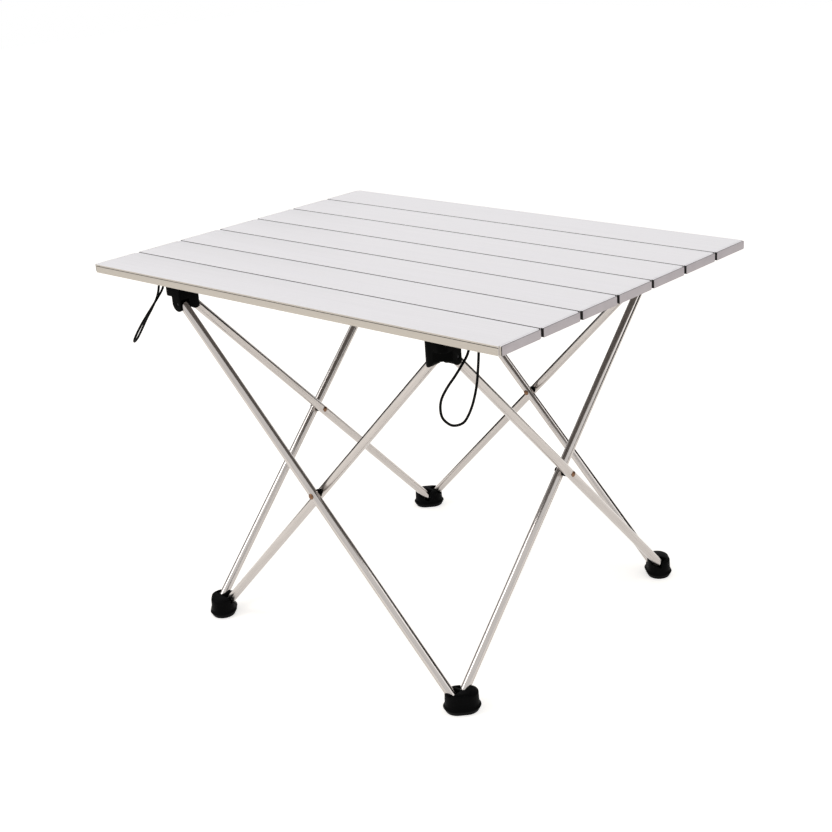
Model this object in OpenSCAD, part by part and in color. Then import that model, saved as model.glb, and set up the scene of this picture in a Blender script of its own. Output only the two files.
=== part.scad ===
// Folding side table: a slatted roll-up tabletop on a four-corner scissor frame.
// Millimetres. X runs along the slats, -Y is the front and +Z is up. The origin is on the
// floor, under the middle of the tabletop.

/* [Tabletop] */
// Length of the tabletop, along the slats
table_l = 560; // [490:5:700]
// Height of the tabletop above the floor
table_h = 408; // [330:2:500]
// Width of one slat
slat_w = 58; // [48:1:70]
// Thickness of a slat
slat_t = 9; // [7.5:0.5:12]
// Gap between neighbouring slats
slat_gap = 1.2; // [0.8:0.1:2]
// Wall of the slat extrusion
slat_wall = 1; // [0.9:0.1:1.5]
// Thickness of the ribs inside a slat
rib_t = 0.8; // [0.8:0.1:1.5]
// Distance of each rib from the slat's centre line
rib_offset = 14; // [10:0.5:16]
// Depth of the shadow groove under the slat's top edge
groove_d = 0.4; // [0.2:0.1:0.6]

/* [End caps] */
// Thickness of the end cap's plate
cap_t = 3; // [2:0.5:5]
// How far the plate stands back from each long edge of the slat
cap_inset = 1.4; // [0.5:0.1:2.5]
// Length of the tongues that plug into the slat
plug_l = 10; // [6:1:16]
// Clearance between a tongue and the slat's walls
plug_fit = 0.15; // [0.05:0.05:0.3]

/* [Elastic cord] */
// Diameter of the elastic cord
cord_d = 2.5; // [2:0.1:3]
// Spacing of the two runs of each doubled cord
cord_pitch = 10; // [8:0.5:14]
// Distance of the doubled cord outboard of the frame's corner
cord_out = 32.5; // [25:0.5:38]
// Radial clearance of the cord in its holes
cord_fit = 0.3; // [0.2:0.05:0.6]
// Height of the cord's runs above the middle of a slat
cord_lift = 1; // [0.5:0.1:1.2]

/* [Corner brackets] */
// Thickness of the bracket's plate
bracket_t = 8; // [6:0.5:10]
// How far the plate stands in from the hub that it rests on
bracket_inset = 0.8; // [0:0.1:1.5]
// Diameter of a bracket screw
screw_d = 3; // [2.5:0.1:3.5]
// Diameter of a bracket screw's head
screw_head_d = 5.6; // [5:0.1:6.5]
// Height of a bracket screw's head
screw_head_h = 2; // [1.5:0.1:2.5]
// Distance of each screw from the middle of the bracket
screw_offset = 6.5; // [5.5:0.5:7.5]
// How far a screw reaches into the slat
screw_bite = 4.5; // [3:0.5:5]

/* [Frame] */
// Distance of the frame's corner beyond the outermost slat's centre line
corner_out = 3.9; // [2:0.1:6]
// Offset of the frame from the middle of the tabletop, along X
frame_dx = 4; // [-6:1:6]
// Offset of the frame from the middle of the tabletop, along Y
frame_dy = 6; // [-6:1:6]
// Outer diameter of a leg tube
tube_d = 10; // [8:0.5:12.5]
// Wall of a leg tube
tube_wall = 1; // [0.8:0.1:1.5]
// Length of tube beyond each end pivot
tube_end = 3.5; // [3:0.5:5]
// Diameter of the pivot pins
pin_d = 3; // [2.5:0.1:4]
// Radial running clearance of a pin or rivet in a tube
pin_fit = 0.05; // [0.02:0.01:0.1]
// How far a pin's end stays below the surface of the plastic
pin_recess = 0.5; // [0.3:0.1:1]
// Side clearance of a tube in its slot
slot_fit = 0.4; // [0.3:0.1:0.8]
// Plastic left between the two slots of a corner
web_t = 2.1; // [1.5:0.1:4]

/* [Crossings] */
// Gap between the two tubes of a crossing
cross_gap = 2; // [1:0.5:4]
// Diameter of the spacer between the tubes
spacer_d = 9; // [7:0.5:9]
// How far the spacer wraps round the outer tube
spacer_wrap = 1; // [0.5:0.1:1.5]
// Diameter of a rivet's head
rivet_head_d = 6.4; // [5:0.2:8]
// Height of a rivet's head
rivet_head_h = 1.5; // [1:0.1:2]
// End play of a rivet
rivet_play = 0.1; // [0.05:0.05:0.2]

/* [Hubs] */
// Plastic outside each slot of a hub
hub_wall = 1.6; // [1.2:0.1:3]
// Plastic between the tube ends and the head
hub_roof = 1.2; // [1:0.1:2]
// How far the block reaches below the pivots
hub_skirt = 2; // [1:0.5:4]
// Plastic round the tube ends in the bosses at the pivots
boss_wall = 1.5; // [1:0.1:2.5]
// Height of the head, the full-width block that the bracket rests on
head_h = 9.3; // [6:0.1:12]
// Radius of the head's two corners at the outer end of the leg that starts at the hub
head_corner_r = 8; // [4:1:10]
// Chamfer of the hub's outer corner, below the head
hub_chamfer = 13; // [6:0.5:13]
// Radius of the small vertical edges
edge_r = 1.2; // [0.5:0.1:2]

/* [Feet] */
// Plastic under the tube ends
foot_floor = 8.5; // [6:0.5:12]
// Height of the foot's full-width body above the pivots
foot_rise = 5.5; // [4:0.5:8]
// Plastic outside each slot of a foot
foot_wall = 1.8; // [1.6:0.1:5]
// How far the rim stands out beyond the foot's body
rim_out = 2; // [1:0.1:3]
// How far the sole stands in from the foot's body
sole_in = 1; // [0:0.1:3]
// Half the distance between the foot's two rounded ends
foot_spread = 4.4; // [3.5:0.1:6]
// Height of the rounded crown on top of the foot
crown_h = 1.8; // [1:0.1:4]

/* [Hidden] */
$fn = 48;

aluminium = [0.86, 0.85, 0.85];
cap_grey = [0.66, 0.62, 0.63];
nylon_black = [0.05, 0.05, 0.05];
steel = [0.5, 0.5, 0.52];
bronze = [0.3, 0.2, 0.15];

// Tabletop
slat_count = 7;
slat_pitch = slat_w + slat_gap;
slat_half = slat_w / 2;
slat_l = table_l - 2 * cap_t;
underside_z = table_h - slat_t;
edge_cut = 0.7;       // chamfer along the slat's top edges
foot_cut = 0.4;       // chamfer along the slat's bottom edges
groove_top = 1.5;     // depth of the shadow groove's upper edge below the top
groove_h = 0.6;       // height of the shadow groove
cap_step = 0.1;       // how far the cap's plate stays inside the slat's thickness
cap_corner_r = 1.2;   // radius of the cap plate's corners
// The three hollow cells of a slat, as [low, high] across the slat
cells = [[wall_in(-1), -rib_offset - rib_t / 2], [-rib_offset + rib_t / 2, rib_offset - rib_t / 2],
         [rib_offset + rib_t / 2, wall_in(1)]];

// Frame corners and pivots. A corner is where the middle planes of two sides meet; in its own
// axes, the frame lies towards +x and +y.
tube_r = tube_d / 2;
leg_off = tube_r + cross_gap / 2;                   // tube centre line to the side's middle plane
end_r = norm([tube_r, tube_end]);                   // reach of a tube end about its pivot
setback = tube_r - leg_off + 2 * slot_fit + web_t + end_r;
corner = (slat_count - 1) / 2 * slat_pitch + corner_out;
pivot_half = corner - setback;
hub_half = leg_off + tube_r + slot_fit + hub_wall;
seat_z = underside_z - bracket_t;
shoulder_z = seat_z - head_h;
hub_z = shoulder_z - hub_roof - slot_fit - end_r;   // height of the upper pivots
foot_z = foot_floor + slot_fit + end_r;             // height of the lower pivots
leg_angle = atan2(hub_z - foot_z, 2 * pivot_half);
leg_l = norm([hub_z - foot_z, 2 * pivot_half]);
cross_z = (hub_z + foot_z) / 2;
pin_half = tube_r + slot_fit + hub_wall - pin_recess;
boss_r = end_r + slot_fit + boss_wall;
slot_run = 60;                                      // length of slot cut, beyond the plastic

// Foot outline: rounded ends either side of a middle point, along the corner's cross direction
foot_shift = [0.85, 2.55];
foot_r = leg_off + tube_r + slot_fit + foot_wall;   // radius of the body's rounded ends
rim_z = 5.5;          // height of the widest part of the rim
neck_z = 8;           // height where the rim meets the body
taper = 0.4;          // how much narrower the body is at its top
crown_in = 4;         // how far the crown's top stands in from the body

// Cord
cord_r = cord_d / 2;
cord_x = corner + cord_out + frame_dx;              // distance of the doubled cord from the middle
cord_drop = slat_t / 2 + cord_lift;                 // height of the runs above the underside
bend_r = cord_drop - 0.5;                           // radius of the bend down to the exit
turn_r = cord_pitch / 2;                            // radius of the return turn in the last slat
rib_lead = 1;                                       // straight run in front of the first rib
exit_y = slat_y(1) + rib_offset - rib_t / 2 + rib_lead - bend_r;
turn_y = slat_y(slat_count) - rib_offset + rib_t + 2;
loop_sides = 8;
loop_steps = 2;       // rings between two points of a loop's route

// Routes of the free loops, from one exit hole to the other, about the middle of the two holes
loop_right_route = [
  [-5, 0, 0], [-5, 0, -9], [-5, -4, -19], [-5, -13, -27], [-6, -22, -35], [-9, -30, -44],
  [-12, -35, -54], [-13, -36, -64], [-12, -34, -73], [-7, -28, -80], [-1, -20, -79], [2, -14, -71],
  [4, -9, -59], [5, -5, -45], [5, -2, -30], [5, 0, -15], [5, 0, 0]
];
loop_left_route = [
  [5, 0, 0], [5, 0, -9], [5, -4, -18], [6, -13, -26], [7, -22, -33], [5, -30, -42],
  [0, -34, -51], [-6, -36, -60], [-13, -36, -69], [-20, -31, -74], [-24, -23, -72], [-23, -16, -63],
  [-18, -12, -52], [-13, -7, -41], [-8, -2, -28], [-5, 0, -14], [-5, 0, 0]
];

function wall_in(side) = side * (slat_half - slat_wall);
function slat_y(i) = (i - (slat_count + 1) / 2) * slat_pitch;

// ---- Helpers ----------------------------------------------------------------------------

// Rectangle from one corner to the other, with round corners
module rounded(low, high, r) {
  translate([low[0] + r, low[1]]) square([high[0] - low[0] - 2 * r, high[1] - low[1]]);
  translate([low[0], low[1] + r]) square([high[0] - low[0], high[1] - low[1] - 2 * r]);
  for (x = [low[0] + r, high[0] - r], y = [low[1] + r, high[1] - r])
    translate([x, y]) circle(r);
}

// Stands a profile drawn across the slat on end and runs it along X
module along_x(length) {
  rotate([90, 0, 90]) linear_extrude(length) children();
}

// Cylinder along +Y
module rod_y(r, length) {
  rotate([-90, 0, 0]) cylinder(r = r, h = length);
}

// Puts a side or corner of the frame in its place: 0 front or front left, then counter-clockwise
module frame_turn(k) {
  translate([frame_dx, frame_dy, 0]) rotate([0, 0, 90 * k]) children();
}

module at_corner(k) {
  frame_turn(k) translate([-corner, -corner, 0]) children();
}

// Both tube ends of a corner: the first runs along x at y = offset, the other is its mirror image
// with the two legs on opposite sides of the middle planes
module each_leg(offset) {
  translate([setback, offset, 0]) children();
  mirror([1, -1, 0]) translate([setback, -offset, 0]) children();
}

// ---- Tabletop ---------------------------------------------------------------------------

module slat_outline() {
  side = [[slat_half - foot_cut, 0], [slat_half, foot_cut],
          [slat_half, slat_t - groove_top - groove_h],
          [slat_half - groove_d, slat_t - groove_top - groove_h],
          [slat_half - groove_d, slat_t - groove_top], [slat_half, slat_t - groove_top],
          [slat_half, slat_t - edge_cut], [slat_half - edge_cut, slat_t]];
  polygon(concat(side, [for (i = [len(side) - 1:-1:0]) [-side[i][0], side[i][1]]]));
}

module slat_profile() {
  difference() {
    slat_outline();
    for (cell = cells)
      translate([cell[0], slat_wall]) square([cell[1] - cell[0], slat_t - 2 * slat_wall]);
  }
}

// Where the cord's holes start and end across slat i
function hole_low(i) = i == 1 ? 0 : -slat_pitch;
function hole_high(i) = i == slat_count ? -slat_half / 4 : slat_pitch;

module slat(i) {
  color(aluminium) translate([0, slat_y(i), underside_z]) difference() {
    translate([-slat_l / 2, 0, 0]) along_x(slat_l) slat_profile();
    for (side = [-1, 1], run = [-1, 1])
      translate([side * cord_x + run * turn_r, hole_low(i), cord_drop])
        rod_y(cord_r + cord_fit, hole_high(i) - hole_low(i));
    if (i == 1) {
      for (side = [-1, 1], run = [-1, 1])
        translate([side * cord_x + run * turn_r, exit_y - slat_y(1), -1])
          cylinder(r = cord_r + cord_fit, h = slat_wall + 2);
      for (k = [0, 1]) screw_holes(k, i);
    }
    if (i == slat_count) for (k = [2, 3]) screw_holes(k, i);
  }
}

// Clearance for the screws of bracket k, in the axes of slat i
module screw_holes(k, i) {
  translate([0, -slat_y(i), 0]) bracket_screw_places(k)
    translate([0, 0, -1]) cylinder(d = screw_d, h = slat_wall + 2);
}

module end_cap() {
  side = slat_half - cap_inset;
  along_x(cap_t) rounded([-side, cap_step], [side, slat_t - cap_step], cap_corner_r);
  for (cell = cells)
    translate([-plug_l, cell[0] + plug_fit, slat_wall + plug_fit])
      cube([plug_l, cell[1] - cell[0] - 2 * plug_fit, slat_t - 2 * slat_wall - 2 * plug_fit]);
}

module end_caps(i) {
  color(cap_grey) for (turn = [0, 1])
    translate([0, slat_y(i), underside_z]) mirror([turn, 0, 0])
      translate([slat_l / 2, 0, 0]) end_cap();
}

// ---- Elastic cord -----------------------------------------------------------------------

// Straight runs of both doubled cords through slat i, from low to high across it
module cord_runs(i, low, high) {
  for (side = [-1, 1], run = [-1, 1])
    translate([side * cord_x + run * turn_r, slat_y(i) + low, underside_z + cord_drop])
      rod_y(cord_r, high - low);
}

module elastic_cord(i) {
  half = slat_pitch / 2;
  color(nylon_black) {
    if (i == 1) {
      cord_runs(i, exit_y - slat_y(1) + bend_r, half);
      for (side = [-1, 1], run = [-1, 1])
        translate([side * cord_x + run * turn_r, exit_y, underside_z]) cord_exit();
    } else if (i == slat_count) {
      cord_runs(i, -half, turn_y - slat_y(i));
      for (side = [-1, 1])
        translate([side * cord_x, turn_y, underside_z + cord_drop])
          rotate_extrude(angle = 180) translate([turn_r, 0]) circle(cord_r);
    } else {
      cord_runs(i, -half, half);
    }
  }
}

// The bend from a run down to the exit hole, which is at the origin
module cord_exit() {
  cylinder(r = cord_r, h = cord_drop - bend_r);
  translate([0, bend_r, cord_drop - bend_r]) rotate([90, 0, -90])
    rotate_extrude(angle = 90) translate([bend_r, 0]) circle(cord_r);
}

function unit(v) = v / norm(v);

// Catmull-Rom curve through four points, t from 0 to 1 between the middle two
function curve(a, b, c, d, t) =
  0.5 * (2 * b + (c - a) * t + (2 * a - 5 * b + 4 * c - d) * t * t
         + (3 * b - a - 3 * c + d) * t * t * t);

// Route with each stretch between two points cut in loop_steps
function smooth_route(p) = let (n = len(p) - 1) concat(
  [for (i = [0:n - 1], s = [0:loop_steps - 1])
    curve(i == 0 ? 2 * p[0] - p[1] : p[i - 1], p[i], p[i + 1],
          i == n - 1 ? 2 * p[n] - p[n - 1] : p[i + 2], s / loop_steps)],
  [p[n]]);

// Direction of the cord at point i of the smooth route; its ends leave straight along the route
function heading(p, i, route) = i == 0 ? unit(route[1] - route[0])
  : i == len(p) - 1 ? unit(route[len(route) - 1] - route[len(route) - 2])
  : unit(p[i + 1] - p[i - 1]);

// Ring of points round a place on the route
function ring(place, along, across) =
  let (u = unit(cross(along, across)), v = cross(along, u))
  [for (s = [0:loop_sides - 1])
    place + cord_r * (cos(360 * s / loop_sides) * u + sin(360 * s / loop_sides) * v)];

// Tube swept along a route; across is a direction that the route never runs along
module cord_tube(route, across) {
  p = smooth_route(route);
  n = len(p);
  points = [for (i = [0:n - 1]) each ring(p[i], heading(p, i, route), across)];
  walls = [for (i = [0:n - 2], s = [0:loop_sides - 1])
    let (a = i * loop_sides + s, b = i * loop_sides + (s + 1) % loop_sides)
    [a, a + loop_sides, b + loop_sides, b]];
  near_end = [for (s = [0:loop_sides - 1]) s];
  far_end = [for (s = [loop_sides - 1:-1:0]) (n - 1) * loop_sides + s];
  polyhedron(points, concat(walls, [near_end, far_end]));
}

module cord_loop(side, route) {
  color(nylon_black) translate([side * cord_x, exit_y, underside_z]) cord_tube(route, [0, 1, -0.3]);
}

// ---- Corner brackets ---------------------------------------------------------------------

// Square outline with well-rounded corners on one side, for the hub's head and the bracket on it
module head_outline(half) {
  intersection() {
    rounded([-half, -half], [half, half], edge_r);
    rounded([-half, -half], [3 * half, half], head_corner_r);
  }
}

// The screws of bracket k lie along X, whichever way the bracket is turned
module bracket_screw_places(k) {
  for (side = [-1, 1])
    at_corner(k) rotate([0, 0, -90 * k]) translate([side * screw_offset, 0, 0]) children();
}

module bracket(k) {
  color(nylon_black) difference() {
    at_corner(k) translate([0, 0, seat_z]) linear_extrude(bracket_t)
      head_outline(hub_half - bracket_inset);
    bracket_screw_places(k) translate([0, 0, seat_z]) {
      cylinder(d = screw_d, h = bracket_t);
      cylinder(d = screw_head_d + 2 * plug_fit, h = screw_head_h + plug_fit);
    }
  }
}

module bracket_screws(k) {
  color(steel) bracket_screw_places(k) translate([0, 0, seat_z + plug_fit]) {
    cylinder(d = screw_head_d, h = screw_head_h);
    cylinder(d = screw_d, h = bracket_t - plug_fit + screw_bite);
  }
}

// ---- Frame -------------------------------------------------------------------------------

// Room for a tube that leaves its pivot upwards, from its open angle to nearly upright
module leg_slot() {
  r = tube_r + slot_fit;
  below = r * [sin(leg_angle), -cos(leg_angle)];
  rotate([90, 0, 0]) linear_extrude(2 * r, center = true) {
    circle(end_r + slot_fit);
    polygon([[0, 0], below, below + slot_run * [cos(leg_angle), sin(leg_angle)],
             [-r, slot_run], [-r, 0]]);
  }
}

// A corner's pins lie across their tubes
module corner_pins(z, offset) {
  each_leg(offset) translate([0, -pin_half, z]) rod_y(pin_d / 2, 2 * pin_half);
}

module hub_outline() {
  difference() {
    head_outline(hub_half);
    polygon([[-hub_half, -hub_half], [hub_chamfer - hub_half, -hub_half],
             [-hub_half, hub_chamfer - hub_half]]);
  }
}

// Rounded boss round each pivot, cut off level with the hub's inner face
module hub_boss(low, high) {
  intersection() {
    translate([0, low, hub_z]) rod_y(boss_r, high - low);
    translate([-boss_r, low, hub_z - boss_r])
      cube([boss_r + hub_half - setback, high - low, 2 * boss_r]);
  }
}

module hub(k) {
  outer_boss = hub_half - leg_off;
  color(nylon_black) at_corner(k) difference() {
    union() {
      translate([0, 0, shoulder_z]) linear_extrude(head_h) head_outline(hub_half);
      translate([0, 0, hub_z - hub_skirt]) linear_extrude(shoulder_z - hub_z + hub_skirt)
        hub_outline();
      intersection() {
        translate([0, 0, hub_z - boss_r]) linear_extrude(2 * boss_r) head_outline(hub_half);
        union() {
          translate([setback, -leg_off, 0]) hub_boss(-outer_boss, outer_boss);
          mirror([1, -1, 0]) translate([setback, leg_off, 0])
            hub_boss(-hub_half - leg_off, outer_boss);
        }
      }
    }
    each_leg(-leg_off) translate([0, 0, hub_z]) mirror([0, 0, 1]) leg_slot();
    corner_pins(hub_z, -leg_off);
    // The outer leg's pin is driven in from outside
    translate([setback, -hub_half - 1, hub_z]) rod_y(pin_d / 2, pin_half);
  }
}

module hub_pins(k) {
  color(steel) at_corner(k) corner_pins(hub_z, -leg_off);
}

// A leg tube along +X from its upper pivot, with a bore for each pin and for the rivet
module leg_tube() {
  color(aluminium) difference() {
    translate([-tube_end, 0, 0]) rotate([0, 90, 0]) cylinder(r = tube_r, h = leg_l + 2 * tube_end);
    translate([-tube_end - 1, 0, 0]) rotate([0, 90, 0])
      cylinder(r = tube_r - tube_wall, h = leg_l + 2 * tube_end + 2);
    for (x = [0, leg_l / 2, leg_l])
      translate([x, -tube_d, 0]) rod_y(pin_d / 2 + pin_fit, 2 * tube_d);
  }
}

module outer_leg(k) {
  frame_turn(k) translate([-pivot_half, -corner - leg_off, hub_z])
    rotate([0, leg_angle, 0]) leg_tube();
}

module inner_leg(k) {
  frame_turn(k) translate([pivot_half, -corner + leg_off, hub_z])
    rotate([0, 180 - leg_angle, 0]) leg_tube();
}

// Domed rivet head, its flat face at the origin and its dome towards +Y
module rivet_head() {
  dome_r = (rivet_head_h * rivet_head_h + rivet_head_d * rivet_head_d / 4) / (2 * rivet_head_h);
  rotate([-90, 0, 0]) rotate_extrude() intersection() {
    translate([0, rivet_head_h - dome_r]) circle(dome_r);
    square([rivet_head_d / 2, rivet_head_h]);
  }
}

module rivet(k) {
  low = -leg_off - tube_r;
  high = leg_off + tube_r + rivet_play;
  color(bronze) frame_turn(k) translate([0, -corner, cross_z]) {
    translate([0, low, 0]) rod_y(pin_d / 2, high - low);
    translate([0, low, 0]) mirror([0, 1, 0]) rivet_head();
    translate([0, high, 0]) rivet_head();
  }
}

// Spacer with a saddle that sits on the outer leg
module spacer(k) {
  low = -cross_gap / 2 - spacer_wrap;
  color(nylon_black) frame_turn(k) translate([0, -corner, cross_z]) difference() {
    translate([0, low, 0]) rod_y(spacer_d / 2, cross_gap + spacer_wrap - pin_fit);
    translate([0, low - 1, 0]) rod_y(pin_d / 2 + pin_fit, cross_gap + spacer_wrap + 2);
    translate([0, -leg_off, 0]) rotate([0, 90 + leg_angle, 0])
      cylinder(r = tube_r, h = 2 * spacer_d, center = true);
  }
}

// Foot body: round ends either side of a straight middle, all with the same outline
module foot_body() {
  top_z = foot_z + foot_rise;
  outline = [[0, 0], [foot_r - sole_in, 0], [foot_r + rim_out, rim_z], [foot_r, neck_z],
             [foot_r - taper, top_z], [foot_r - crown_in, top_z + crown_h], [0, top_z + crown_h]];
  translate(foot_shift) rotate([0, 0, -45]) {
    for (end = [-foot_spread, foot_spread])
      translate([end, 0, 0]) rotate_extrude() polygon(outline);
    for (turn = [0, 1])
      mirror([0, turn, 0]) translate([-foot_spread, 0, 0]) along_x(2 * foot_spread)
        polygon(outline);
  }
}

module foot(k) {
  color(nylon_black) at_corner(k) difference() {
    foot_body();
    each_leg(leg_off) translate([0, 0, foot_z]) leg_slot();
    corner_pins(foot_z, leg_off);
  }
}

module foot_pins(k) {
  color(steel) at_corner(k) corner_pins(foot_z, leg_off);
}

// ---- Sub-parts ---------------------------------------------------------------------------

slat(1);  // slat_1
slat(2);  // slat_2
slat(3);  // slat_3
slat(4);  // slat_4
slat(5);  // slat_5
slat(6);  // slat_6
slat(7);  // slat_7
end_caps(1);  // end_caps_1
end_caps(2);  // end_caps_2
end_caps(3);  // end_caps_3
end_caps(4);  // end_caps_4
end_caps(5);  // end_caps_5
end_caps(6);  // end_caps_6
end_caps(7);  // end_caps_7
elastic_cord(1);  // elastic_cord_1
elastic_cord(2);  // elastic_cord_2
elastic_cord(3);  // elastic_cord_3
elastic_cord(4);  // elastic_cord_4
elastic_cord(5);  // elastic_cord_5
elastic_cord(6);  // elastic_cord_6
elastic_cord(7);  // elastic_cord_7
cord_loop(-1, loop_left_route);  // cord_loop_left
cord_loop(1, loop_right_route);  // cord_loop_right
for (k = [0, 1]) bracket(k);  // front_brackets
for (k = [2, 3]) bracket(k);  // rear_brackets
for (k = [0, 1]) bracket_screws(k);  // front_bracket_screws
for (k = [2, 3]) bracket_screws(k);  // rear_bracket_screws
hub(0);  // hub_front_left
hub(1);  // hub_front_right
hub(2);  // hub_rear_right
hub(3);  // hub_rear_left
hub_pins(0);  // hub_pins_front_left
hub_pins(1);  // hub_pins_front_right
hub_pins(2);  // hub_pins_rear_right
hub_pins(3);  // hub_pins_rear_left
outer_leg(0);  // outer_leg_front
outer_leg(1);  // outer_leg_right
outer_leg(2);  // outer_leg_rear
outer_leg(3);  // outer_leg_left
inner_leg(0);  // inner_leg_front
inner_leg(1);  // inner_leg_right
inner_leg(2);  // inner_leg_rear
inner_leg(3);  // inner_leg_left
rivet(0);  // rivet_front
rivet(1);  // rivet_right
rivet(2);  // rivet_rear
rivet(3);  // rivet_left
spacer(0);  // spacer_front
spacer(1);  // spacer_right
spacer(2);  // spacer_rear
spacer(3);  // spacer_left
foot(0);  // foot_front_left
foot(1);  // foot_front_right
foot(2);  // foot_rear_right
foot(3);  // foot_rear_left
foot_pins(0);  // foot_pins_front_left
foot_pins(1);  // foot_pins_front_right
foot_pins(2);  // foot_pins_rear_right
foot_pins(3);  // foot_pins_rear_left
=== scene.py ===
"""Folding side table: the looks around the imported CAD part. Sizes are in metres."""

import math

import bmesh
import bpy
from mathutils import Matrix, Vector


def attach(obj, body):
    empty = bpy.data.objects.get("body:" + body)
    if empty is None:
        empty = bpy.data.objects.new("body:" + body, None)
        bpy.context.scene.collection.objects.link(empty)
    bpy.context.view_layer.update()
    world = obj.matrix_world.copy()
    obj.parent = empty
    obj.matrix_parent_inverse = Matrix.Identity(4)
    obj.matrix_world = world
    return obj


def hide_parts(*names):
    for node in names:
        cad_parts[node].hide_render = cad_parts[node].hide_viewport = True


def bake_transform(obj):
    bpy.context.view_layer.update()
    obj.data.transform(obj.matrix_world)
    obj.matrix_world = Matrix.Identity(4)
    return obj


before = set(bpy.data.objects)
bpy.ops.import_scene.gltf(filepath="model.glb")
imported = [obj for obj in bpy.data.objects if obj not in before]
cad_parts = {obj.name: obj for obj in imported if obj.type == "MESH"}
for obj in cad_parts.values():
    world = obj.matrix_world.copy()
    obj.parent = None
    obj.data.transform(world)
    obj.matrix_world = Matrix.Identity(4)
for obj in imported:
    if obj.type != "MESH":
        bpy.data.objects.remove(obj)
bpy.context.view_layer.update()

# ---- Sizes, as in the CAD part -----------------------------------------------------------

TABLE_H = 0.408
SLATS = 7
SLAT_W = 0.058
SLAT_T = 0.009
PITCH = 0.0592
UNDERSIDE = TABLE_H - SLAT_T
SLAT_HALF_L = 0.277
SLAT_WALL = 0.001
RIB_T = 0.0008
RIB_OFFSET = 0.014
GROOVE_LOW, GROOVE_HIGH = SLAT_T - 0.0021, SLAT_T - 0.0015
GROOVE_DEPTH = 0.0004
CAP_T = 0.003
# CAP_LINE is the width of the painted shade line at the caps' outer end.
CAP_LINE = 0.0009
CORD_R = 0.00125
CORD_X = 0.218
RUN_HALF = 0.005
RUN_Z = UNDERSIDE + 0.0055
BEND_R = 0.005
EXIT_Y = -0.168
TURN_Y = 0.1664
TURN_CLEAR = 0.001
HOLE_GAP = 0.0003
CORD_SIDES = 16
LOOP_SIDES = 32
LOOP_STEPS = 18
BRAID_STRANDS = 8
BRAID_PITCH = 0.006
BRAID_RELIEF = 0.00005
CORNER = 0.1815
FRAME_AT = Vector((0.004, 0.006, 0))
LEG_OFF = 0.006
TUBE_R = 0.005
TUBE_WALL = 0.001
TUBE_END = 0.0035
TUBE_LIP = 0.0003
TUBE_SIDES = 64
TUBE_RINGS = 24
HUB_Z = 0.373997
FOOT_Z = 0.015003
PIVOT_HALF = 0.173497
JOIN_DIST = 2e-6
FLAT_ANGLE = math.radians(0.8)
BEVEL_ANGLE = math.radians(35)
SIDES = ("front", "right", "rear", "left")
CORNERS = ("front_left", "front_right", "rear_right", "rear_left")

# Free loops, from one exit hole to the other, in millimetres about the middle of the two holes
LOOP_RIGHT = [
    (-5, 0, 0), (-5, 0, -9), (-5, -4, -19), (-5, -13, -27), (-6, -22, -35), (-9, -30, -44),
    (-12, -35, -54), (-13, -36, -64), (-12, -34, -73), (-7, -28, -80), (-1, -20, -79),
    (2, -14, -71), (4, -9, -59), (5, -5, -45), (5, -2, -30), (5, 0, -15), (5, 0, 0)]
LOOP_LEFT = [
    (5, 0, 0), (5, 0, -9), (5, -4, -18), (6, -13, -26), (7, -22, -33), (5, -30, -42),
    (0, -34, -51), (-6, -36, -60), (-13, -36, -69), (-20, -31, -74), (-24, -23, -72),
    (-23, -16, -63), (-18, -12, -52), (-13, -7, -41), (-8, -2, -28), (-5, 0, -14), (-5, 0, 0)]

# ---- Camera ------------------------------------------------------------------------------

PIXELS = 832
FOCAL_PX = 1437.9
SENSOR = 36
YAW, PITCH_DOWN, ROLL = -0.7035, 0.3732, -0.0535
CAMERA_AT = (1.0102, -1.1035, 0.7865)
SHIFT_X, SHIFT_Y = -0.0739, 0.0171


def add_camera():
    data = bpy.data.cameras.new("camera")
    data.sensor_width = SENSOR
    data.lens = FOCAL_PX * SENSOR / PIXELS
    data.shift_x = SHIFT_X
    data.shift_y = SHIFT_Y
    camera = bpy.data.objects.new("camera", data)
    bpy.context.collection.objects.link(camera)
    forward = Vector((math.sin(YAW) * math.cos(PITCH_DOWN), math.cos(YAW) * math.cos(PITCH_DOWN),
                      -math.sin(PITCH_DOWN)))
    level = Vector((math.cos(YAW), -math.sin(YAW), 0))
    up = level.cross(forward)
    right = level * math.cos(ROLL) + up * math.sin(ROLL)
    up = up * math.cos(ROLL) - level * math.sin(ROLL)
    turn = Matrix((right, up, -forward)).transposed().to_4x4()
    camera.matrix_world = Matrix.Translation(CAMERA_AT) @ turn
    bpy.context.scene.camera = camera


# ---- Mesh helpers ------------------------------------------------------------------------


def add_mesh(name, verts, faces, material):
    mesh = bpy.data.meshes.new(name)
    mesh.from_pydata([tuple(v) for v in verts], [], faces)
    mesh.materials.append(material)
    mesh.validate()
    mesh.shade_smooth()
    obj = bpy.data.objects.new(name, mesh)
    bpy.context.collection.objects.link(obj)
    return obj


def tidy_mesh(obj, angle=30):
    """Outward normals, and smooth shading except across sharp edges."""
    bm = bmesh.new()
    bm.from_mesh(obj.data)
    bmesh.ops.remove_doubles(bm, verts=bm.verts, dist=1e-6)
    bmesh.ops.recalc_face_normals(bm, faces=bm.faces)
    bm.to_mesh(obj.data)
    bm.free()
    obj.data.shade_smooth()
    obj.data.set_sharp_from_angle(angle=math.radians(angle))


def apply_modifiers(obj):
    depsgraph = bpy.context.evaluated_depsgraph_get()
    mesh = bpy.data.meshes.new_from_object(obj.evaluated_get(depsgraph))
    obj.modifiers.clear()
    obj.data = mesh


def cut(obj, cutter):
    mod = obj.modifiers.new("cut", "BOOLEAN")
    mod.operation = "DIFFERENCE"
    mod.solver = "EXACT"
    mod.object = cutter
    bpy.context.view_layer.update()
    apply_modifiers(obj)
    bpy.data.objects.remove(cutter)


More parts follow.
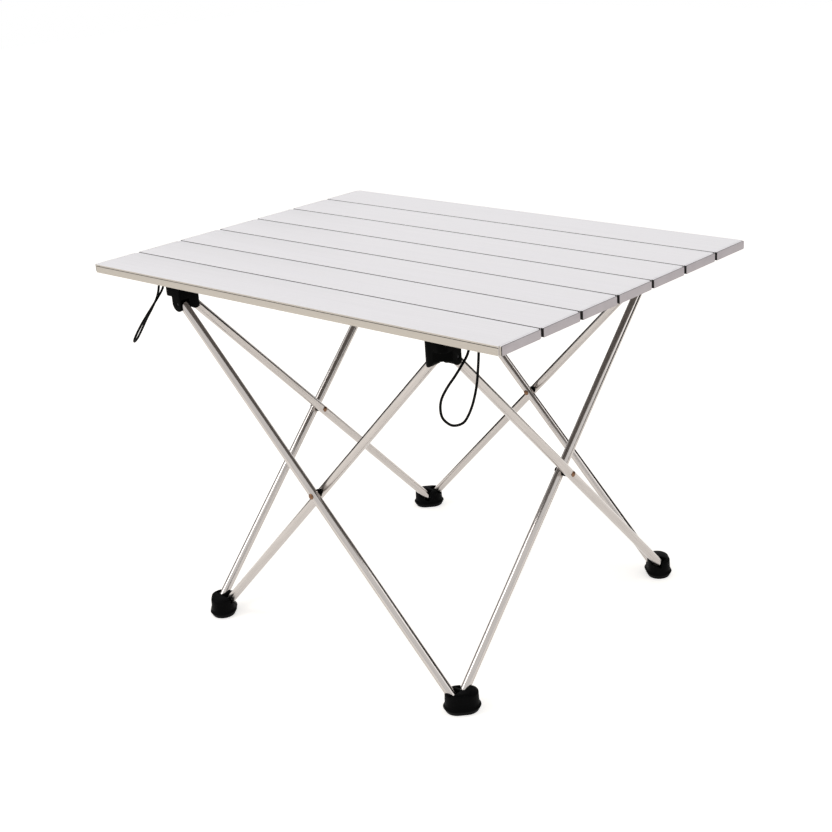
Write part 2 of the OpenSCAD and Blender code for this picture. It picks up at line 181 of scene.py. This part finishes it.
def smooth_curve(points, steps):
    """Catmull-Rom curve through the points, with each stretch cut in steps."""
    p = [Vector(q) for q in points]
    p = [2 * p[0] - p[1]] + p + [2 * p[-1] - p[-2]]
    out = []
    for a, b, c, d in zip(p, p[1:], p[2:], p[3:]):
        for s in range(steps):
            t = s / steps
            out.append(0.5 * (2 * b + (c - a) * t + (2 * a - 5 * b + 4 * c - d) * t * t
                              + (3 * b - a - 3 * c + d) * t ** 3))
    return out + [p[-2]]


def tube_mesh(path, sides, radius_at):
    """Vertices and faces of a closed tube along a path, without twist, and each ring's run."""
    tangents = []
    for i in range(len(path)):
        a, b = path[max(i - 1, 0)], path[min(i + 1, len(path) - 1)]
        tangents.append((b - a).normalized())
    axis = Vector((1, 0, 0))
    verts, runs, run = [], [], 0
    for i, (at, along) in enumerate(zip(path, tangents)):
        axis = (axis - along * axis.dot(along)).normalized()
        side = along.cross(axis)
        if i:
            run += (at - path[i - 1]).length
        for s in range(sides):
            angle = 2 * math.pi * s / sides
            r = radius_at(run, angle)
            verts.append(at + r * (math.cos(angle) * axis + math.sin(angle) * side))
        runs.append(run)
    faces = []
    for i in range(len(path) - 1):
        for s in range(sides):
            a, b = i * sides + s, i * sides + (s + 1) % sides
            faces.append((a, b, b + sides, a + sides))
    faces.append(tuple(range(sides))[::-1])
    faces.append(tuple((len(path) - 1) * sides + s for s in range(sides)))
    return verts, faces, runs


def wrap_uvs(obj, sides, runs, first_vertex=0):
    """UVs round a tube of rings: U goes round once, V is the run in metres."""
    layer = obj.data.uv_layers.get("wrap") or obj.data.uv_layers.new(name="wrap")
    rings = len(runs)
    for face in obj.data.polygons:
        if len(face.vertices) != 4:
            continue
        columns = [(v - first_vertex) % sides for v in face.vertices]
        crosses = max(columns) - min(columns) > 1
        for loop, v, column in zip(face.loop_indices, face.vertices, columns):
            ring = (v - first_vertex) // sides
            if 0 <= ring < rings:
                u = 1 if crosses and column == 0 else column / sides
                layer.data[loop].uv = (u, runs[ring])


def lathe(profile, sides, origin, axis):
    """Vertices and faces of a shape turned about an axis; the profile is (radius, height)."""
    axis = Vector(axis).normalized()
    across = axis.orthogonal().normalized()
    other = axis.cross(across)
    verts, faces, rings = [], [], []
    for r, h in profile:
        ring = []
        for s in range(sides if r > 0 else 1):
            angle = 2 * math.pi * s / sides
            ring.append(len(verts))
            verts.append(Vector(origin) + axis * h
                         + r * (math.cos(angle) * across + math.sin(angle) * other))
        rings.append(ring)
    for low, high in zip(rings, rings[1:]):
        for s in range(sides):
            t = (s + 1) % sides
            if len(low) == 1:
                faces.append((low[0], high[t], high[s]))
            elif len(high) == 1:
                faces.append((low[s], low[t], high[0]))
            else:
                faces.append((low[s], low[t], high[t], high[s]))
    return verts, faces


def rod(radius, length, origin, axis):
    """Vertices and faces of a closed rod, for cutting round holes."""
    return lathe([(0, 0), (radius, 0), (radius, length), (0, length)], 24, origin, axis)


def rounded_outline(points, radii, steps):
    """Closed 2D outline with each corner rounded by its radius."""
    out = []
    n = len(points)
    for i, (p, r) in enumerate(zip(points, radii)):
        p = Vector(p)
        a = (Vector(points[i - 1]) - p).normalized()
        b = (Vector(points[(i + 1) % n]) - p).normalized()
        half = a.angle(b) / 2
        reach = r / math.tan(half)
        centre = p + (a + b).normalized() * (r / math.sin(half))
        start, end = p + a * reach - centre, p + b * reach - centre
        turn = start.angle_signed(end)
        for s in range(steps + 1):
            out.append(centre + Matrix.Rotation(-turn * s / steps, 2) @ start)
    return out


def prism(outline, x0, x1, place):
    """Vertices and faces of a prism along X; the outline is (y, z) in metres about place."""
    n = len(outline)
    verts = [Vector((x, place[0] + q[0], place[1] + q[1])) for x in (x0, x1) for q in outline]
    faces = [(i, (i + 1) % n, n + (i + 1) % n, n + i) for i in range(n)]
    faces += [tuple(range(n))[::-1], tuple(range(n, 2 * n))]
    return verts, faces


def merge(parts):
    verts, faces = [], []
    for v, f in parts:
        faces += [tuple(i + len(verts) for i in face) for face in f]
        verts += v
    return verts, faces


def slat_y(i):
    return (i - (SLATS + 1) / 2) * PITCH


# ---- Materials ---------------------------------------------------------------------------

NOISE_SPAN = (0.3, 0.7)
HAIR_DEPTH = 0.00001
GRAIN = 2600
GRAIN_DEPTH = 0.00003
WEAVE_ROUND = 2.546473
WEAVE_ALONG = 159.15457
WEAVE_DEPTH = 0.00008


def larger(tree, a, b):
    """Output of a node that gives the larger of two values."""
    node = tree.nodes.new("ShaderNodeMath")
    node.operation = "MAXIMUM"
    tree.links.new(a, node.inputs[0])
    tree.links.new(b, node.inputs[1])
    return node.outputs[0]


class Shade:
    """A material with its nodes made by short calls."""

    def __init__(self, name, color, metallic, roughness):
        self.material = bpy.data.materials.new(name)
        self.material.use_nodes = True
        self.tree = self.material.node_tree
        self.shader = self.tree.nodes["Principled BSDF"]
        self.shader.inputs["Base Color"].default_value = (*color, 1)
        self.shader.inputs["Metallic"].default_value = metallic
        self.shader.inputs["Roughness"].default_value = roughness

    def node(self, kind, **sockets):
        node = self.tree.nodes.new(kind)
        for name, value in sockets.items():
            node.inputs[name.replace("_", " ")].default_value = value
        return node

    def link(self, a, b):
        self.tree.links.new(a, b)

    def coords(self, source="Object", scale=(1, 1, 1)):
        start = self.node("ShaderNodeTexCoord").outputs[source]
        mapping = self.node("ShaderNodeMapping", Scale=scale)
        self.link(start, mapping.inputs["Vector"])
        return mapping.outputs["Vector"]

    def noise(self, vector, scale, detail=3, roughness=0.5):
        node = self.node("ShaderNodeTexNoise", Scale=scale, Detail=detail, Roughness=roughness)
        self.link(vector, node.inputs["Vector"])
        return node.outputs["Fac"]

    def ramp(self, value, low, high):
        node = self.node("ShaderNodeMapRange")
        for name, v in zip(("From Min", "From Max", "To Min", "To Max"), (*NOISE_SPAN, low, high)):
            node.inputs[name].default_value = v
        self.link(value, node.inputs["Value"])
        return node.outputs["Result"]

    def colors(self, value, dark, light, span=NOISE_SPAN):
        node = self.tree.nodes.new("ShaderNodeValToRGB")
        node.color_ramp.elements[0].position, node.color_ramp.elements[1].position = span
        node.color_ramp.elements[0].color = (*dark, 1)
        node.color_ramp.elements[1].color = (*light, 1)
        self.link(value, node.inputs["Fac"])
        return node.outputs["Color"]

    def base(self, socket):
        self.link(socket, self.shader.inputs["Base Color"])

    def rough(self, socket):
        self.link(socket, self.shader.inputs["Roughness"])

    def bump(self, height, distance):
        node = self.node("ShaderNodeBump", Strength=1.0, Distance=distance)
        self.link(height, node.inputs["Height"])
        self.link(node.outputs["Normal"], self.shader.inputs["Normal"])


def anodised(name, dark, light):
    """Fine-brushed anodised aluminium: hairlines along X and a very faint cloud; darker copies
    carry painted shade.
    """
    shade = Shade(name, light, 0.55, 0.42)
    hair = shade.noise(shade.coords(scale=(6, 900, 900)), 1.0, 4, 0.6)
    shade.base(shade.colors(hair, dark, light))
    shade.rough(shade.ramp(hair, 0.36, 0.46))
    shade.bump(hair, HAIR_DEPTH)
    return shade.material


def satin_tube():
    """Drawn aluminium tube: lines along its length, on the tube's own UVs."""
    shade = Shade("satin_tube", (0.52, 0.485, 0.46), 1.0, 0.17)
    lines = shade.noise(shade.coords("UV", (160, 25, 1)), 1.0, 4, 0.6)
    shade.base(shade.colors(lines, (0.42, 0.39, 0.37), (0.62, 0.58, 0.555)))
    shade.rough(shade.ramp(lines, 0.13, 0.21))
    shade.bump(lines, HAIR_DEPTH)
    return shade.material


def moulded(name, color, light, roughness, specular=0.5):
    """Moulded plastic with a fine spark-eroded grain."""
    shade = Shade(name, color, 0.0, roughness)
    grains = shade.noise(shade.coords(), GRAIN, 2, 0.6)
    cloud = shade.noise(shade.coords(), 60.0, 3)
    shade.base(shade.colors(cloud, color, light))
    shade.rough(shade.ramp(grains, roughness - 0.07, roughness + 0.1))
    shade.bump(grains, GRAIN_DEPTH)
    shade.shader.inputs["Specular IOR Level"].default_value = specular
    return shade.material


def braided_cord():
    """Woven sheath: two crossing sets of strands on the cord's own UVs."""
    shade = Shade("braided_cord", (0.012, 0.012, 0.013), 0.0, 0.6)
    strands = []
    for slant in (1, -1):
        wave = shade.node("ShaderNodeTexWave", Scale=1.0, Distortion=0.0)
        wave.wave_type = "BANDS"
        mapping = shade.coords("UV", (WEAVE_ROUND, slant * WEAVE_ALONG, 1))
        shade.link(mapping, wave.inputs["Vector"])
        wave.bands_direction = "DIAGONAL"
        strands.append(wave.outputs["Fac"])
    weave = larger(shade.tree, *strands)
    shade.base(shade.colors(weave, (0.0008, 0.0008, 0.0008), (0.003, 0.003, 0.0032), (0.2, 0.9)))
    shade.bump(weave, WEAVE_DEPTH)
    shade.shader.inputs["Specular IOR Level"].default_value = 0.08
    return shade.material


def plain_metal(name, color, roughness):
    shade = Shade(name, color, 1.0, roughness)
    marks = shade.noise(shade.coords(), 1500, 3)
    shade.base(shade.colors(marks, tuple(0.75 * c for c in color), tuple(1.15 * c for c in color)))
    shade.rough(shade.ramp(marks, roughness - 0.08, roughness + 0.12))
    shade.bump(marks, HAIR_DEPTH)
    return shade.material


slat_metal = anodised("slat_top", (0.85, 0.83, 0.85), (0.91, 0.89, 0.91))
# Long sides and the caps' outer sides: a darker, warmer copy of the top's colour, painted shade.
slat_side_painted_shade = anodised("slat_side_painted_shade", (0.55, 0.505, 0.45), (0.62, 0.57, 0.505))
# Near black painted shade in the grooves, on the walls of the gaps between slats and on the slat
# ends near the sides.
slat_painted_gap_shade = anodised("slat_painted_gap_shade", (0.012, 0.009, 0.008), (0.03, 0.024, 0.02))
# Underside: dark grey painted shade for the shadow under the top, which the tubes reflect.
slat_under_painted_shade = anodised("slat_under_painted_shade", (0.16, 0.15, 0.145), (0.22, 0.205, 0.20))
tube_metal = satin_tube()
cap_plastic = moulded("cap_plastic", (0.62, 0.57, 0.60), (0.68, 0.63, 0.66), 0.5)
# Near black painted shade on the caps' walls in the gaps between slats.
cap_painted_gap_shade = moulded("cap_painted_gap_shade", (0.02, 0.018, 0.018), (0.03, 0.027, 0.027), 0.7, 0.2)
# Dark grey painted shade: a shadow line along the caps' top at their outer end.
cap_painted_seam_shade = moulded("cap_painted_seam_shade", (0.20, 0.18, 0.18), (0.26, 0.24, 0.24), 0.6, 0.3)
nylon = moulded("black_nylon", (0.001, 0.001, 0.001), (0.002, 0.002, 0.002), 0.55, 0.03)
boot_nylon = moulded("boot_nylon", (0.001, 0.001, 0.0011), (0.003, 0.003, 0.0032), 0.55, 0.04)
cord_sheath = braided_cord()
pin_steel = plain_metal("pin_steel", (0.03, 0.03, 0.032), 0.45)
rivet_bronze = plain_metal("rivet_bronze", (0.22, 0.12, 0.07), 0.32)

# ---- Camera and free cords ---------------------------------------------------------------

add_camera()


def braid_radius(run, angle):
    """The sheath's crossing strands, as a slight swelling of the cord."""
    turn = 2 * math.pi * run / BRAID_PITCH
    a = math.cos(BRAID_STRANDS * angle + 2 * turn)
    b = math.cos(BRAID_STRANDS * angle - 2 * turn)
    return CORD_R - BRAID_RELIEF + BRAID_RELIEF * max(a, b)


def add_loop(name, side, route, node):
    at = Vector((side * CORD_X, EXIT_Y, UNDERSIDE))
    path = [at + q * 0.001 for q in smooth_curve(route, LOOP_STEPS)]
    verts, faces, runs = tube_mesh(path, LOOP_SIDES, braid_radius)
    loop = add_mesh(name, verts, faces, cord_sheath)
    wrap_uvs(loop, LOOP_SIDES, runs)
    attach(loop, "tabletop_slat_1")
    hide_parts(node)


add_loop("free_loop_right", 1, LOOP_RIGHT, "cord_loop_right")
add_loop("free_loop_left", -1, LOOP_LEFT, "cord_loop_left")

# ---- Elastic cord inside the slats -------------------------------------------------------


def cord_tubes(name, paths):
    """One mesh of several cords that follow the paths."""
    parts, all_runs = [], []
    for path in paths:
        verts, faces, runs = tube_mesh(path, CORD_SIDES, braid_radius)
        parts.append((verts, faces))
        all_runs.append(runs)
    cords = add_mesh(name, *merge(parts), cord_sheath)
    first = 0
    for runs in all_runs:
        wrap_uvs(cords, CORD_SIDES, runs, first)
        first += CORD_SIDES * len(runs)
    return cords


def run_stops(gap):
    """Y of the points along a cord from the middle of slat `gap` to the middle of the next."""
    y0, y1 = slat_y(gap), slat_y(gap + 1)
    mid, half = (y0 + y1) / 2, (PITCH - SLAT_W) / 2
    across = [mid + half * s / 6 for s in range(-6, 7)]
    return [y0, (y0 + mid) / 2, mid - 4 * half] + across + [mid + 4 * half, (mid + y1) / 2, y1]


def exit_bend(x):
    """The cord's end in the first slat, which turns up from its exit hole into the run."""
    start = Vector((x, EXIT_Y, UNDERSIDE))
    arc = (math.pi / 24 * s for s in range(13))
    return [start] + [Vector((x, EXIT_Y + BEND_R * (1 - math.cos(a)),
                              RUN_Z - BEND_R * (1 - math.sin(a)))) for a in arc]


def add_gap_cords(gap):
    """The cords across one gap between slats, in one mesh; the real cords bend there when the top
    is rolled.
    """
    paths = []
    for side in (-1, 1):
        runs = []
        for run in (-1, 1):
            x = side * CORD_X + run * RUN_HALF
            path = [Vector((x, y, RUN_Z)) for y in run_stops(gap)]
            if gap == 1:
                bend = exit_bend(x)
                path = bend + [q for q in path if q.y > bend[-1].y]
            runs.append(path)
        if gap < SLATS - 1:
            paths += runs
            continue
        arc = (math.pi * s / 16 for s in range(17))
        turn = [Vector((side * CORD_X - RUN_HALF * math.cos(a),
                        TURN_Y + RUN_HALF * math.sin(a), RUN_Z)) for a in arc]
        keep = [[q for q in path if q.y < TURN_Y - TURN_CLEAR] for path in runs]
        paths.append(keep[0] + turn + keep[1][::-1])
    cords = cord_tubes(f"gap_cords_{gap}", paths)
    nodes = [f"elastic_cord_{gap}"] + [f"elastic_cord_{SLATS}"] * (gap == SLATS - 1)
    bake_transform(cords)
    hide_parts(*nodes)


for number in range(1, SLATS):
    add_gap_cords(number)

# ---- Slats and end caps ------------------------------------------------------------------


def slat_outline():
    half = SLAT_W / 2
    bottom = half - GROOVE_DEPTH
    right = [(half, 0), (half, GROOVE_LOW), (bottom, GROOVE_LOW), (bottom, GROOVE_HIGH),
             (half, GROOVE_HIGH), (half, SLAT_T)]
    radii = [0.0004, 0.00012, 0.0001, 0.0001, 0.00012, 0.0003]
    left = [(-y, z) for y, z in right[::-1]]
    return rounded_outline(right + left, radii + radii[::-1], 5)


def is_outer(i, y):
    """Whether the side of slat i at y is the table's front or rear."""
    return (i == 1 and y < 0) or (i == SLATS and y > 0)


def colour_sides_with_painted_shade(slat, i, place):
    """The long sides, their grooves, the gaps' walls and the underside get painted shade, darker
    than the top.
    """
    side, dark, under = 1, 2, 3
    deep, skin, flat = 0.0005, 0.0002, 0.0001
    for material in (slat_side_painted_shade, slat_painted_gap_shade, slat_under_painted_shade):
        slat.data.materials.append(material)
    for face in slat.data.polygons:
        y = face.center.y - place[0]
        inward = SLAT_W / 2 - abs(y)
        up = face.center.z - place[1]
        in_groove = GROOVE_LOW < up < GROOVE_HIGH
        in_gap = not is_outer(i, y) or abs(face.normal.x) > 0.5
        # Painted shade: near black in the grooves, on the gaps' walls and on the slat ends near the
        # sides.
        if inward < deep and (in_groove or in_gap):
            face.material_index = dark
        # Painted shade: the other long-side faces darker than the top.
        elif inward < skin:
            face.material_index = side
        # Painted shade: the underside dark grey.
        elif up < flat:
            face.material_index = under


def cell_cutter(place):
    """The three hollow cells between a slat's walls and its two ribs."""
    inner, half_rib = SLAT_W / 2 - SLAT_WALL, RIB_T / 2
    cells = [(-inner, -RIB_OFFSET - half_rib), (-RIB_OFFSET + half_rib, RIB_OFFSET - half_rib),
             (RIB_OFFSET + half_rib, inner)]
    low, high, reach = SLAT_WALL, SLAT_T - SLAT_WALL, SLAT_HALF_L + 0.01
    parts = []
    for left, right in cells:
        corners = [(left, low), (right, low), (right, high), (left, high)]
        parts.append(prism(rounded_outline(corners, [0.0005] * 4, 3), -reach, reach, place))
    return add_mesh("cutter", *merge(parts), slat_metal)


def cord_cutter(i, y):
    """The cords' holes through slat i, and the exit holes under the first slat."""
    low = y if i == 1 else y - PITCH
    high = y - SLAT_W / 8 if i == SLATS else y + PITCH
    radius, depth = CORD_R + HOLE_GAP, 0.003
    parts = []
    for side in (-1, 1):
        for run in (-1, 1):
            x = side * CORD_X + run * RUN_HALF
            parts.append(rod(radius, high - low, (x, low, RUN_Z), (0, 1, 0)))
            if i == 1:
                parts.append(rod(radius, depth, (x, EXIT_Y, UNDERSIDE - depth / 2), (0, 0, 1)))
    return add_mesh("cutter", *merge(parts), slat_metal)


def add_slat(i):
    place = (slat_y(i), UNDERSIDE)
    body = prism(slat_outline(), -SLAT_HALF_L, SLAT_HALF_L, place)
    slat = add_mesh(f"slat_body_{i}", *body, slat_metal)
    tidy_mesh(slat)
    for cutter in (cell_cutter(place), cord_cutter(i, place[0])):
        tidy_mesh(cutter)
        cut(slat, cutter)
    tidy_mesh(slat)
    colour_sides_with_painted_shade(slat, i, place)
    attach(slat, f"tabletop_slat_{i}")
    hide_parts(f"slat_{i}")


for number in range(1, SLATS + 1):
    add_slat(number)

# ---- Moulded and turned pieces -----------------------------------------------------------


def add_detailed(node, body, material, bevel):
    """A piece with the CAD node's shape, with its flat faces joined and its edges rounded."""
    bm = bmesh.new()
    bm.from_mesh(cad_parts[node].data)
    bmesh.ops.remove_doubles(bm, verts=bm.verts, dist=JOIN_DIST)
    bmesh.ops.dissolve_limit(bm, angle_limit=FLAT_ANGLE, verts=bm.verts, edges=bm.edges)
    mesh = bpy.data.meshes.new(node + "_detailed")
    bm.to_mesh(mesh)
    bm.free()
    normals = mesh.attributes.get("custom_normal")
    if normals:
        mesh.attributes.remove(normals)
    mesh.materials.clear()
    mesh.materials.append(material)
    for face in mesh.polygons:
        face.material_index = 0
    piece = bpy.data.objects.new(node + "_detailed", mesh)
    bpy.context.collection.objects.link(piece)
    if bevel:
        mod = piece.modifiers.new("edges", "BEVEL")
        mod.width = bevel
        mod.segments = 3
        mod.limit_method = "ANGLE"
        mod.angle_limit = BEVEL_ANGLE
        mod.use_clamp_overlap = False
        bpy.context.view_layer.update()
        apply_modifiers(piece)
    tidy_mesh(piece, 40)
    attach(piece, body)
    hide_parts(node)
    return piece


def colour_caps_with_painted_shade(caps, i):
    """Painted shade on the caps: near black walls in the gaps and a dark line at the outer end,
    with the slat's finish inside it.
    """
    dark, line, top, side = 1, 2, 3, 4
    line_x = SLAT_HALF_L + CAP_T - CAP_LINE
    bm = bmesh.new()
    bm.from_mesh(caps.data)
    for x in (-line_x, line_x):
        everything = bm.verts[:] + bm.edges[:] + bm.faces[:]
        bmesh.ops.bisect_plane(bm, geom=everything, plane_co=(x, 0, 0), plane_no=(1, 0, 0))
    bm.to_mesh(caps.data)
    bm.free()
    for material in (cap_painted_gap_shade, cap_painted_seam_shade, slat_metal, slat_side_painted_shade):
        caps.data.materials.append(material)
    for face in caps.data.polygons:
        in_line = abs(face.center.x) > line_x
        # Painted shade: near black on the walls in the gaps and on the outer sides within the line.
        if abs(face.normal.y) > 0.5:
            outer = is_outer(i, face.center.y - slat_y(i))
            face.material_index = side if outer and not in_line else dark
        # Painted shade: a dark line on the top at the outer end, with the slat's finish inside it.
        elif face.normal.z > 0.5:
            face.material_index = line if in_line else top


for number in range(1, SLATS + 1):
    body = f"tabletop_slat_{number}"
    caps = add_detailed(f"end_caps_{number}", body, cap_plastic, 0.0004)
    colour_caps_with_painted_shade(caps, number)
for row, number in (("front", 1), ("rear", SLATS)):
    body = f"tabletop_slat_{number}"
    add_detailed(f"{row}_brackets", body, nylon, 0.0004)
    add_detailed(f"{row}_bracket_screws", body, pin_steel, 0.0002)
for corner in CORNERS:
    hub, foot = f"hub_{corner}", f"foot_{corner}"
    add_detailed(hub, hub, nylon, 0.0005)
    add_detailed(f"hub_pins_{corner}", hub, pin_steel, 0.0002)
    add_detailed(foot, foot, boot_nylon, 0.0006)
    add_detailed(f"foot_pins_{corner}", foot, pin_steel, 0.0002)
for side in SIDES:
    body = f"outer_leg_{side}"
    add_detailed(f"rivet_{side}", body, rivet_bronze, 0)
    add_detailed(f"spacer_{side}", body, nylon, 0.0003)

# ---- Leg tubes ---------------------------------------------------------------------------


def add_leg(name, k, upper, lower):
    """Open tube with rounded lips from its upper pivot to its lower one, on side k of the frame."""
    turn = Matrix.Translation(FRAME_AT) @ Matrix.Rotation(math.pi / 2 * k, 4, "Z")
    a, b = turn @ Vector(upper), turn @ Vector(lower)
    length = (b - a).length + 2 * TUBE_END
    axis = (b - a).normalized()
    inner, lip = TUBE_R - TUBE_WALL, TUBE_LIP
    stops = [lip + (length - 2 * lip) * s / TUBE_RINGS for s in range(TUBE_RINGS + 1)]
    profile = [(inner, lip), (inner + lip, 0), (TUBE_R - lip, 0)] + [(TUBE_R, h) for h in stops]
    profile += [(TUBE_R - lip, length), (inner + lip, length), (inner, length - lip), (inner, lip)]
    body = lathe(profile, TUBE_SIDES, a - axis * TUBE_END, axis)
    leg = add_mesh(name + "_tube", *body, tube_metal)
    wrap_uvs(leg, TUBE_SIDES, [h for _, h in profile])
    tidy_mesh(leg, 35)
    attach(leg, name)
    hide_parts(name)


for k, side in enumerate(SIDES):
    y = -CORNER - LEG_OFF
    add_leg(f"outer_leg_{side}", k, (-PIVOT_HALF, y, HUB_Z), (PIVOT_HALF, y, FOOT_Z))
    y = -CORNER + LEG_OFF
    add_leg(f"inner_leg_{side}", k, (PIVOT_HALF, y, HUB_Z), (-PIVOT_HALF, y, FOOT_Z))

# ---- Stage and light ---------------------------------------------------------------------

FLOOR_GLOW = 0.62
WORLD_LIGHT = 0.55


def seen_white(tree):
    """1 for the rays that see the background itself or its reflection, 0 for the light it gives."""
    path = tree.nodes.new("ShaderNodeLightPath")
    seen = path.outputs["Is Camera Ray"]
    for ray in ("Is Glossy Ray", "Is Transmission Ray"):
        seen = larger(tree, seen, path.outputs[ray])
    return seen


def add_stage():
    """Warm white floor that shows white where nothing shades it."""
    size = 6
    material = bpy.data.materials.new("floor")
    material.use_nodes = True
    nodes, links = material.node_tree.nodes, material.node_tree.links
    shader = nodes["Principled BSDF"]
    shader.inputs["Base Color"].default_value = (0.9, 0.86, 0.8, 1)
    shader.inputs["Roughness"].default_value = 0.9
    shader.inputs["Specular IOR Level"].default_value = 0.1
    glow = nodes.new("ShaderNodeEmission")
    strength = nodes.new("ShaderNodeMath")
    strength.operation = "MULTIPLY"
    strength.inputs[1].default_value = FLOOR_GLOW
    links.new(seen_white(material.node_tree), strength.inputs[0])
    links.new(strength.outputs[0], glow.inputs["Strength"])
    both = nodes.new("ShaderNodeAddShader")
    links.new(shader.outputs[0], both.inputs[0])
    links.new(glow.outputs[0], both.inputs[1])
    links.new(both.outputs[0], nodes["Material Output"].inputs["Surface"])
    corners = [(-size, -size, 0), (size, -size, 0), (size, size, 0), (-size, size, 0)]
    floor = add_mesh("floor", corners, [(0, 1, 2, 3)], material)


def add_flag(name, start, end, low, high):
    """Black card that stands on the line from start to end, seen only in reflections."""
    material = bpy.data.materials.new(name)
    material.use_nodes = True
    shader = material.node_tree.nodes["Principled BSDF"]
    shader.inputs["Base Color"].default_value = (0.01, 0.01, 0.01, 1)
    shader.inputs["Specular IOR Level"].default_value = 0
    corners = [(*start, low), (*end, low), (*end, high), (*start, high)]
    flag = add_mesh(name, corners, [(0, 1, 2, 3)], material)
    flag.visible_camera = flag.visible_diffuse = flag.visible_shadow = False


def white_world():
    world = bpy.data.worlds.new("world")
    bpy.context.scene.world = world
    world.use_nodes = True
    nodes, links = world.node_tree.nodes, world.node_tree.links
    background = nodes["Background"]
    background.inputs["Color"].default_value = (1, 1, 1, 1)
    strength = nodes.new("ShaderNodeMapRange")
    strength.inputs["To Min"].default_value = WORLD_LIGHT
    strength.inputs["To Max"].default_value = 1.0
    links.new(seen_white(world.node_tree), strength.inputs["Value"])
    links.new(strength.outputs["Result"], background.inputs["Strength"])


def add_lamp(name, at, toward, size, power):
    data = bpy.data.lights.new(name, "AREA")
    data.shape = "DISK"
    data.size = size
    data.energy = power
    lamp = bpy.data.objects.new(name, data)
    bpy.context.collection.objects.link(lamp)
    turn = (Vector(toward) - Vector(at)).to_track_quat("-Z", "Y").to_matrix().to_4x4()
    lamp.matrix_world = Matrix.Translation(at) @ turn


add_stage()
add_flag("flag_right", (1.53, 0.51), (0.11, 2.19), 0.05, 1.5)
add_flag("flag_left", (-1.3, -0.5), (-1.3, 1.2), 0.02, 0.55)
white_world()
add_lamp("key", (-1.2, -1.6, 2.2), (0, 0, 0.25), 1.2, 14)
add_lamp("fill", (1.8, 0.6, 1.6), (0, 0, 0.25), 1.5, 5)

bpy.context.scene.view_settings.view_transform = "Standard"
